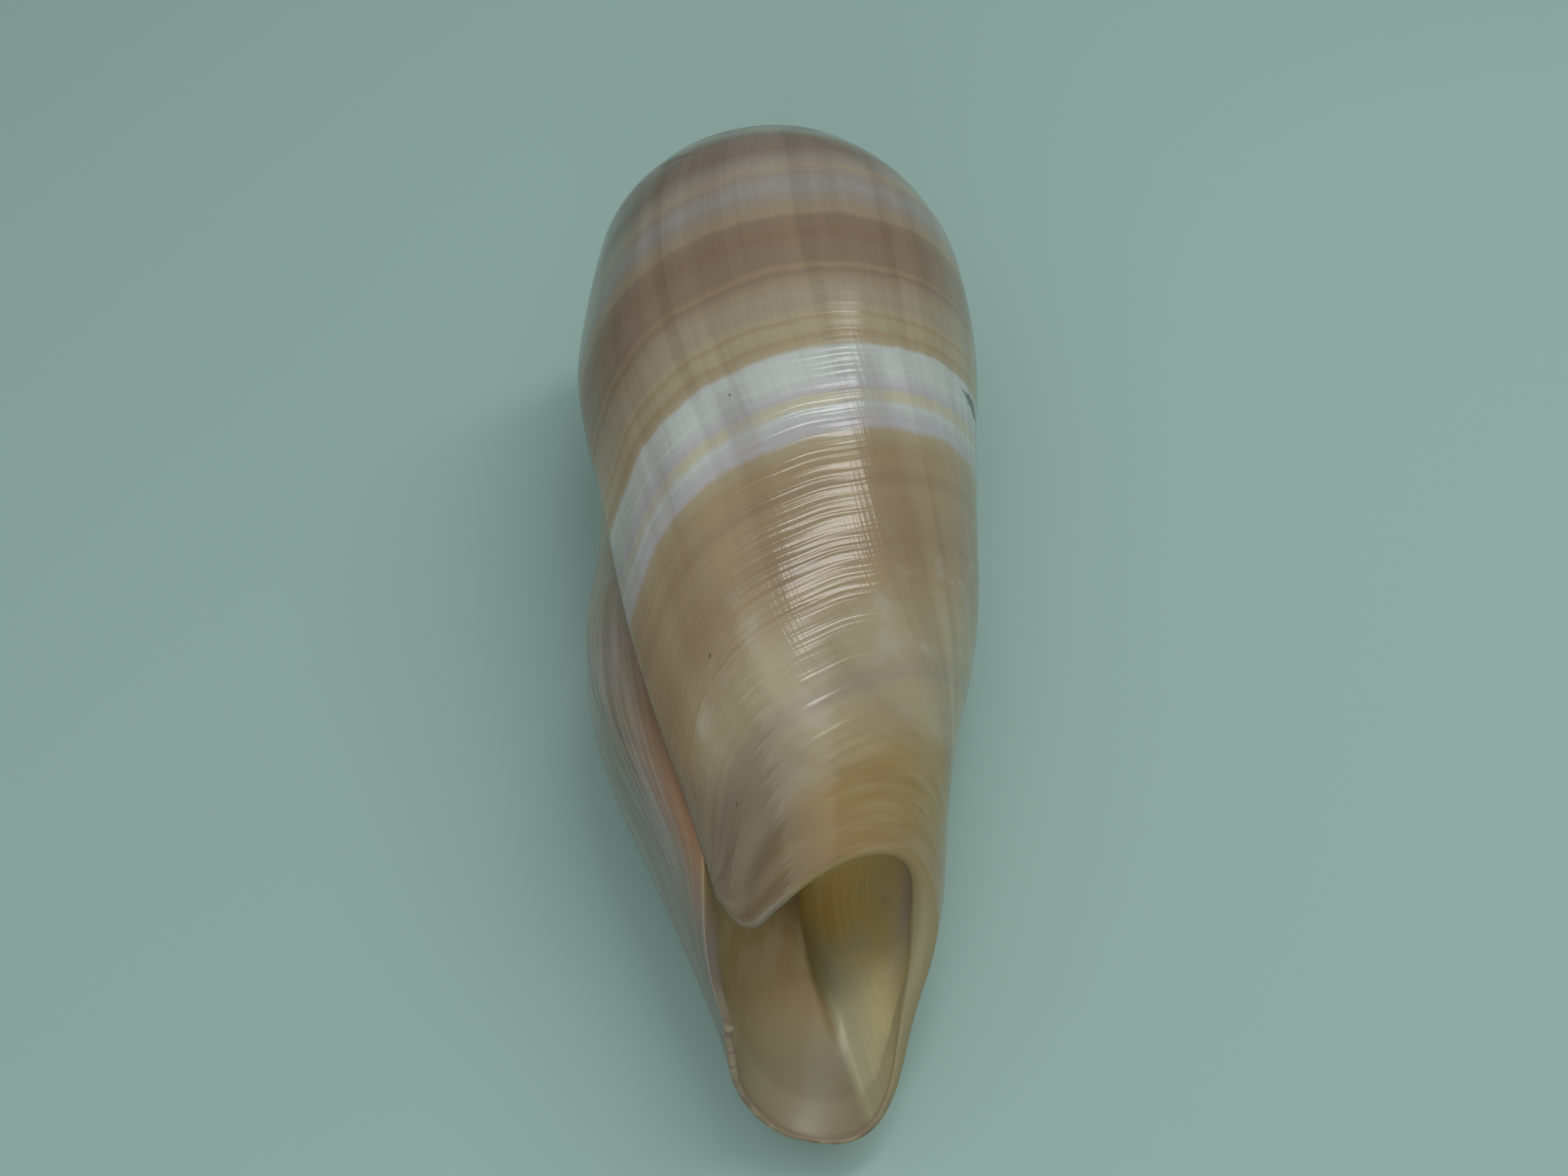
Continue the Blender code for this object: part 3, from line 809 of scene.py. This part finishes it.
def aperture_colour(shell, look):
    """The glazed tan face left of the fold, the olive hollow right of it and the paler band inside the
    margin. The hollow's colours are its olive glaze painted much lighter, as painted light shining through
    its thin wall."""
    w = shell.wiring
    face = w.ramp(shell.depth, (
        (44.0, look.salmon), (50.0, look.face_brown), (54.0, look.face_tan),
        (58.0, look.face_tan), (61.0, look.face_pale), (65.0, look.face_pale),
    ), 44.0, 65.0)
    cloud = w.clouds(shell.fold, 0.05, shell.depth, 0.5, detail=3.0)
    brown = w.product(w.rise(cloud, 0.42, 0.62), w.rise(shell.depth, 60.0, 55.0))
    face = w.tint(face, look.face_brown, brown, 0.7)
    violet = w.product(w.rise(shell.loop, 1.09, 1.0), w.rise(shell.depth, 53.0, 57.0))
    face = w.tint(face, look.violet, violet, 0.75)
    # Painted light: the hollow's tones are far lighter than its glaze, standing in for light that shines
    # through the thin wall into the hollow.
    hollow = w.ramp(shell.fold, (
        (-110.0, look.hollow_pale_with_painted_glow), (-60.0, look.hollow_pale_with_painted_glow), (-40.0, look.hollow_olive_with_painted_glow),
        (-18.0, look.hollow_brown_with_painted_glow), (0.0, look.hollow_brown_with_painted_glow),
    ), -110.0, 0.0)
    lower = w.rise(w.math("MULTIPLY_ADD", shell.fold, 0.03, shell.depth), 51.0, 56.0)
    hollow = w.mix(lower, hollow, w.mix(w.rise(shell.fold, -6.0, -40.0), look.hollow_grey_with_painted_glow, look.hollow_pale_with_painted_glow))
    arcs = shell.lines(shell.fold, shell.depth, 3.0, 8.0, 23.0)
    wear = w.clouds(shell.fold, 0.08, shell.depth, 0.45, 3.0, 3.0)
    hollow = w.tint(hollow, look.hollow_light_with_painted_glow, w.rise(arcs, 0.5, 1.0), wear, 0.3)
    hollow = w.tint(hollow, look.hollow_grey_with_painted_glow, w.rise(wear, 0.5, 0.7), 0.35)
    specks = w.rise(w.clouds(shell.fold, 0.35, shell.depth, 2.2, 8.0), 0.70, 0.76)
    hollow = w.tint(hollow, look.tip_dark, specks, w.rise(shell.fold, -60.0, -30.0), 0.7)
    colours = w.mix(w.rise(shell.fold, -4.0, 3.0), hollow, face)
    deep = w.rise(shell.depth, 44.0, 34.0)
    colours = w.mix(deep, colours, look.inside)
    on_wall = w.rise(shell.loop, 1.5, 1.56)
    colours = w.tint(colours, look.inside, on_wall, w.rise(shell.rim, 3.0, 9.0))
    band_edge = w.swayed(shell.rim, w.clouds(shell.age, 0.06, 0.0, 0.0), 0.8)
    margin = w.product(w.rise(band_edge, 2.5, 1.9), w.rise(shell.depth, 56.0, 60.0))
    colours = w.tint(colours, look.margin, margin, 0.5)
    rim_line = w.product(w.rise(shell.rim, 0.5, 0.1), w.rise(shell.depth, 56.0, 60.0))
    return w.tint(colours, look.rim_brown, rim_line, 0.6)


def rim_colour(shell, look, colours):
    """The cap along the front margin: grey at the lip's tip, warm at the notch, olive to its right, and pale
    with worn brown stretches round the base."""
    w = shell.wiring
    right = w.mix(w.rise(shell.age, 90.0, 125.0), look.fasciole, look.rim_olive)
    chips = w.rise(w.clouds(shell.age, 0.09, 0.0, 0.0, 6.0, 4.0), 0.36, 0.60)
    worn = w.mix(chips, look.margin, look.rim_brown)
    cap = w.mix(w.rise(shell.age, 168.0, 200.0), right, worn)
    cap = w.mix(w.rise(shell.age, 46.0, 30.0), cap, look.tip_light)
    return w.tint(colours, cap, shell.on_cap, 0.85)


def spire_colour(shell, look, colours):
    """The ramps: cream lilac with brown blotches, and smaller ones just past the shoulder."""
    w = shell.wiring
    blotches = w.clouds(shell.age, 0.045, shell.ramp, 0.9, detail=3.0)
    ground = w.mix(w.rise(shell.ramp, 0.2, 1.0), look.mauve, look.cream_lilac)
    spire = w.mix(w.rise(blotches, 0.5, 0.6), ground, look.blotch)
    colours = w.mix(shell.on_ramp, colours, spire)
    flecks = w.clouds(shell.age, 0.06, shell.depth, 0.6, 9.0, 3.0)
    shoulder = w.product(w.rise(shell.band, 7.5, 5.4), w.rise(flecks, 0.56, 0.66), 0.8)
    return w.tint(colours, look.blotch, shoulder, w.rest(shell.on_ramp))


def marks_colour(shell, look, colours):
    """A brown blotch on the crown, the dark ragged wedge on the shell's right and a scatter of tiny pits."""
    w = shell.wiring
    crown = w.spot(shell.age, shell.band, (91.5, 5.3), (18.0, 2.0))
    colours = w.tint(colours, look.blotch, w.rise(crown, 0.15, 0.5), shell_outside(shell))
    off = w.math("ABSOLUTE", w.math("SUBTRACT", shell.depth, 23.2))
    ragged = w.clouds(shell.age, 0.35, shell.depth, 1.0, 2.0)
    width = w.product(w.between(shell.age, 132.0, 147.0, 148.0, 153.0), ragged, 1.2)
    wedge = w.rise(w.math("SUBTRACT", off, width), 0.05, -0.2)
    colours = w.tint(colours, look.scar, wedge, shell_outside(shell), 0.9)
    cells = w.stretched(shell.age, 0.05, shell.band, 0.25)
    pits = w.node("ShaderNodeTexVoronoi", {"Vector": cells, "Scale": 1.0})
    pit = w.product(w.rise(pits, 0.035, 0.02), 0.6)
    return w.mix(pit, colours, look.scar)


def shell_outside(shell):
    """1 on the part of the outside that the lip's own whorl has in the open, 0 on the belly and inside."""
    return shell.wiring.rise(shell.loop, 0.7, 0.6)


def shell_relief(shell, look):
    """Height in millimetres: growth lines, spiral threads, ribs towards the base, the fasciole's arcs, the
    belly's fibres, and fine lines on the spire's ramps and in the hollow."""
    w = shell.wiring
    outside = w.rest(shell.on_core)
    growth = shell.lines(shell.deposit, shell.band, 0.9, 20.0, 31.0)
    coarse = shell.lines(shell.deposit, shell.band, 6.0, 12.0, 33.0)
    threads = shell.lines(shell.band, shell.deposit, 0.32, 110.0, 37.0)
    striae = shell.lines(shell.ramp, shell.age, 0.09, 120.0, 43.0)
    rays = shell.lines(shell.age, shell.ramp, 2.0, 3.0, 47.0)
    cords = shell.lines(shell.band, shell.deposit, 0.8, 150.0, 41.0)
    middle = w.between(shell.band, 21.0, 29.0, 38.0, 46.0)
    middle = w.math("MULTIPLY_ADD", middle, 0.85, 0.15)
    fibres = shell.lines(shell.age, shell.depth, 1.2, 7.0, 19.0)
    arcs = shell.lines(shell.fan, shell.age, 0.7, 40.0, 17.0)
    ribs = w.ramp(shell.band, rib_stops(), 36.0, 48.0, "EASE")
    base = w.rise(shell.band, 30.0, 42.0)
    fasciole = w.rise(shell.rim, 11.0, 6.0)
    away = w.rest(fasciole)
    strip = w.product(w.rise(shell.loop, 0.6, 0.8), w.rise(shell.depth, 36.0, 48.0))
    hollow = w.product(shell.on_core, w.rise(shell.fold, 4.0, -6.0))
    hollow_arcs = shell.lines(shell.fold, shell.depth, 2.2, 8.0, 23.0)
    heights = w.total(
        w.product(growth, away, middle, look.growth_relief, 1.3),
        w.product(coarse, away, look.growth_relief, 1.2),
        w.product(threads, middle, away, look.thread_relief),
        w.product(cords, middle, look.thread_relief, 0.35),
        w.product(shell.on_ramp, w.total(striae, rays), look.thread_relief),
        w.product(ribs, base, look.rib_relief),
        w.product(arcs, fasciole, look.fasciole_relief),
        w.product(fibres, strip, look.fasciole_relief),
    )
    smooth_core = w.product(hollow_arcs, hollow, look.fasciole_relief, 0.2)
    return w.math("ADD", w.product(heights, outside), smooth_core)


def shell_material(look):
    material = bpy.data.materials.new("cone_shell")
    material.use_nodes = True
    w = Wiring(material.node_tree)
    shader = material.node_tree.nodes["Principled BSDF"]
    shell = Shell(w)
    colours = outside_colour(shell, look)
    colours = tip_colour(shell, look, colours)
    colours = strip_colour(shell, look, colours)
    colours = spire_colour(shell, look, colours)
    colours = marks_colour(shell, look, colours)
    colours = w.mix(shell.on_core, colours, aperture_colour(shell, look))
    colours = rim_colour(shell, look, colours)
    worn = w.clouds(shell.age, 0.1, shell.depth, 0.4, detail=4.0)
    roughness = w.math("MULTIPLY_ADD", worn, 0.14, look.roughness)
    dull = w.math("MAXIMUM", w.product(shell.on_core, 0.22), w.product(shell.on_cap, 0.3))
    roughness = w.math("ADD", roughness, dull)
    bump = w.node("ShaderNodeBump", {"Height": shell_relief(shell, look), "Distance": MM, "Strength": 1.0})
    material.node_tree.links.new(colours, shader.inputs["Base Color"])
    material.node_tree.links.new(roughness, shader.inputs["Roughness"])
    material.node_tree.links.new(bump, shader.inputs["Normal"])
    shader.inputs["IOR"].default_value = REFRACTION
    shader.inputs["Subsurface Weight"].default_value = GLOW_SHARE
    shader.inputs["Subsurface Radius"].default_value = GLOW_COLOURS
    shader.inputs["Subsurface Scale"].default_value = GLOW_REACH * MM
    return material


def tone(name, description, value):
    return bpy.props.FloatVectorProperty(
        name=name, description=description, subtype="COLOR", size=3, min=0.0, max=1.0, default=value)


def amount(name, description, value):
    return bpy.props.FloatProperty(name=name, description=description, min=0.0, default=value)


class ShellLook(bpy.types.PropertyGroup):
    """Colours and relief of the shell."""

    mauve: tone("Mauve", "Ground colour near the shoulder", (0.245, 0.213, 0.168))
    dark_mauve: tone("Dark mauve", "Darker part of the shoulder zone", (0.225, 0.18, 0.138))
    lilac: tone("Lilac", "Warm bands of the spire side", (0.31, 0.275, 0.228))
    grey_lilac: tone("Grey lilac", "Cool bands of the spire side", (0.325, 0.308, 0.292))
    pale_lilac: tone("Pale lilac", "Cool edge of the white band", (0.46, 0.45, 0.46))
    cream_lilac: tone("Cream lilac", "Warm grey between the bands", (0.36, 0.31, 0.225))
    cream: tone("Cream", "Thin light lines", (0.33, 0.265, 0.18))
    brown: tone("Brown", "The broad dark band", (0.265, 0.198, 0.137))
    red_brown: tone("Red brown", "Darkest part of the dark band", (0.25, 0.175, 0.117))
    tan: tone("Tan", "Ground colour towards the base", (0.37, 0.285, 0.17))
    dark_tan: tone("Dark tan", "Faint darker lines in the tan", (0.33, 0.248, 0.15))
    tan_cream: tone("Tan cream", "Lighter parts of the tan", (0.40, 0.345, 0.225))
    white: tone("White", "The white band", (0.52, 0.56, 0.535))
    yellow_cream: tone("Yellow cream", "Line inside the white band", (0.50, 0.48, 0.35))
    fasciole: tone("Fasciole", "Orange yellow next to the notch", (0.32, 0.23, 0.09))
    fasciole_light: tone("Fasciole light", "Light arcs next to the notch", (0.40, 0.315, 0.16))
    streak_dark: tone("Streak dark", "Tint that dark streaks give the bands", (1.0, 0.92, 0.86))
    tip_dark: tone("Tip dark", "Brown streaks at the lip's tip", (0.13, 0.095, 0.065))
    tip_light: tone("Tip light", "Lilac streaks at the lip's tip", (0.22, 0.185, 0.135))
    # Strip grey: partly the belly's own grey, partly painted shade of the shaded belly.
    strip_grey_with_painted_shade: tone("Strip grey", "Grey of the belly beside the aperture", (0.25, 0.275, 0.275))
    strip_dark: tone("Strip dark", "Dark fibres of the belly", (0.145, 0.15, 0.14))
    salmon: tone("Salmon", "Edge of the inner lip", (0.36, 0.185, 0.085))
    face_brown: tone("Face brown", "Brown clouds of the columella", (0.28, 0.185, 0.07))
    face_tan: tone("Face tan", "The columella's glazed face", (0.33, 0.245, 0.125))
    face_pale: tone("Face pale", "Lower end of the columella", (0.235, 0.205, 0.12))
    # Violet: the bluish tint of the columella's edge, also used dark as painted shade in the seam beside the
    # belly.
    violet: tone("Violet", "Bluish edge of the columella", (0.20, 0.19, 0.20))
    # Painted light: the hollow's tones below are its olive glaze made much lighter, standing in for light
    # shining through the thin wall.
    hollow_brown_with_painted_glow: tone("Hollow brown", "Bottom of the siphonal hollow", (0.55, 0.40, 0.11))
    hollow_olive_with_painted_glow: tone("Hollow olive", "Middle of the siphonal hollow", (0.62, 0.50, 0.19))
    hollow_pale_with_painted_glow: tone("Hollow pale", "Right side of the siphonal hollow", (0.72, 0.64, 0.34))
    hollow_grey_with_painted_glow: tone("Hollow grey", "Greenish end of the siphonal hollow", (0.43, 0.41, 0.26))
    hollow_light_with_painted_glow: tone("Hollow light", "Light arcs of the siphonal hollow", (0.72, 0.66, 0.40))
    margin: tone("Margin", "Pale band inside the front margin", (0.31, 0.275, 0.175))
    rim_olive: tone("Rim olive", "Thick end of the wall right of the notch", (0.27, 0.25, 0.135))
    rim_brown: tone("Rim brown", "Worn edge of the front margin", (0.19, 0.13, 0.085))
    inside: tone("Inside", "Inside of the whorl", (0.52, 0.47, 0.45))
    blotch: tone("Blotch", "Brown blotches of the shoulder", (0.12, 0.075, 0.05))
    scar: tone("Scar", "The dark wedge and the pits", (0.035, 0.03, 0.02))
    cloud: tone("Cloud", "Whitish clouds towards the base", (0.47, 0.45, 0.38))
    streak_contrast: amount("Streak contrast", "How much streaks lighten and darken the bands", 0.62)
    band_sway: amount("Band sway", "How far band edges wander, in millimetres", 0.5)
    growth_relief: amount("Growth line relief", "Height of the growth lines, in millimetres", 0.005)
    thread_relief: amount("Thread relief", "Height of the spiral threads, in millimetres", 0.018)
    rib_relief: amount("Rib relief", "Height of the ribs near the base, in millimetres", 0.02)
    fasciole_relief: amount("Fasciole relief", "Height of the arcs by the notch, in millimetres", 0.02)
    roughness: bpy.props.FloatProperty(
        name="Roughness", description="Roughness of the glossiest places", default=0.09, min=0.0, max=1.0)


class StageLook(bpy.types.PropertyGroup):
    """Floor, lights and camera."""

    floor: tone("Floor", "Pale grey green floor", (0.405, 0.58, 0.535))
    floor_size: bpy.props.FloatProperty(
        name="Floor size", description="Side of the floor", default=6.0, min=1.0, unit="LENGTH")
    key_power: amount("Key power", "Watts of the soft box", 0.12)
    front_power: amount("Front power", "Watts of the light on the base", 0.08)
    top_power: amount("Top power", "Watts of the broad light overhead", 0.34)
    key_size: bpy.props.FloatVectorProperty(
        name="Key size", description="Sides of the soft box", size=2, subtype="XYZ_LENGTH",
        default=(0.035, 0.17))
    key_place: bpy.props.FloatVectorProperty(
        name="Key place", description="Middle of the soft box", subtype="XYZ_LENGTH",
        default=(0.076, 0.036, 0.198))
    fill: amount("Fill", "Strength of the even light", 0.26)
    camera_place: bpy.props.FloatVectorProperty(
        name="Camera place", description="Where the camera stands", subtype="XYZ_LENGTH", precision=6,
        default=(-0.000486, -0.072804, 0.110386))
    camera_turn: bpy.props.FloatVectorProperty(
        name="Camera turn", description="The camera's rotation", subtype="EULER",
        default=(math.radians(36.030), math.radians(2.3048), math.radians(-3.0469)))
    lens: bpy.props.FloatProperty(
        name="Lens", description="Focal length in millimetres", default=46.4134, min=1.0)


class CONE_SHELL_OT_shell(bpy.types.Operator):
    """Builds the shell's finished surface in place of its solid"""

    bl_idname = "cone_shell.shell"
    bl_label = "Build Shell"

    def execute(self, context):
        data = shell_patchwork().mesh("shell_body", laid_down)
        outward(data)
        shell = bpy.data.objects.new("shell_body", data)
        context.scene.collection.objects.link(shell)
        data.materials.append(shell_material(context.scene.cone_shell_look))
        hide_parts("shell")
        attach(shell, "root")
        return {"FINISHED"}


class CONE_SHELL_OT_stage(bpy.types.Operator):
    """Adds the floor, the lights and the camera"""

    bl_idname = "cone_shell.stage"
    bl_label = "Build Stage"

    def execute(self, context):
        scene = context.scene
        look = scene.cone_shell_stage
        add_floor(scene, look)
        add_lights(scene, look)
        add_camera(scene, look)
        return {"FINISHED"}


def add_floor(scene, look):
    half = look.floor_size / 2.0
    data = bpy.data.meshes.new("floor")
    corners = [(-half, -half, 0), (half, -half, 0), (half, half, 0), (-half, half, 0)]
    data.from_pydata(corners, [], [(0, 1, 2, 3)])
    material = bpy.data.materials.new("floor")
    material.use_nodes = True
    shader = material.node_tree.nodes["Principled BSDF"]
    shader.inputs["Base Color"].default_value = colour(look.floor)
    shader.inputs["Roughness"].default_value = 0.9
    shader.inputs["Specular IOR Level"].default_value = 0.0
    data.materials.append(material)
    floor = bpy.data.objects.new("floor", data)
    scene.collection.objects.link(floor)


def add_soft_box(scene, name, place, target, size, power):
    """A rectangular light at a place, turned to face its target."""
    light = bpy.data.objects.new(name, bpy.data.lights.new(name, "AREA"))
    light.data.shape = "RECTANGLE"
    light.data.size, light.data.size_y = size
    light.data.energy = power
    light.location = place
    light.rotation_euler = (Vector(target) - light.location).to_track_quat("-Z", "Y").to_euler()
    scene.collection.objects.link(light)


def add_lights(scene, look):
    add_soft_box(scene, "soft_box", look.key_place, KEY_TARGET, look.key_size, look.key_power)
    boxes = (("front_box", FRONT_BOX, look.front_power), ("top_box", TOP_BOX, look.top_power))
    for name, (place, target, side), power in boxes:
        add_soft_box(scene, name, place, target, (side, side), power)
    world = bpy.data.worlds.new("studio")
    world.use_nodes = True
    world.node_tree.nodes["Background"].inputs["Color"].default_value = FILL_COLOUR
    world.node_tree.nodes["Background"].inputs["Strength"].default_value = look.fill
    scene.world = world
    scene.view_settings.view_transform = "Standard"


def add_camera(scene, look):
    camera = bpy.data.objects.new("camera", bpy.data.cameras.new("camera"))
    camera.data.lens = look.lens
    camera.data.sensor_width = 36.0
    camera.data.clip_start = 0.005
    camera.location = look.camera_place
    camera.rotation_euler = look.camera_turn
    scene.collection.objects.link(camera)
    scene.camera = camera


class CONE_SHELL_PT_pieces(bpy.types.Panel):
    """Shows the build buttons and lists what can be changed"""

    bl_label = "Cone Shell"
    bl_space_type = "VIEW_3D"
    bl_region_type = "UI"
    bl_category = "Cone Shell"

    def draw(self, context):
        layout = self.layout
        layout.operator(CONE_SHELL_OT_shell.bl_idname)
        layout.operator(CONE_SHELL_OT_stage.bl_idname)
        for look in (context.scene.cone_shell_look, context.scene.cone_shell_stage):
            for name in look.bl_rna.properties.keys():
                if name not in ("rna_type", "name"):
                    layout.prop(look, name)


CLASSES = (ShellLook, StageLook, CONE_SHELL_OT_shell, CONE_SHELL_OT_stage, CONE_SHELL_PT_pieces)


def register():
    for part in CLASSES:
        bpy.utils.register_class(part)
    bpy.types.Scene.cone_shell_look = bpy.props.PointerProperty(type=ShellLook)
    bpy.types.Scene.cone_shell_stage = bpy.props.PointerProperty(type=StageLook)


def unregister():
    del bpy.types.Scene.cone_shell_stage
    del bpy.types.Scene.cone_shell_look
    for part in reversed(CLASSES):
        bpy.utils.unregister_class(part)


def main():
    register()
    bpy.ops.cone_shell.shell()
    bpy.ops.cone_shell.stage()


if __name__ == "__main__":
    main()
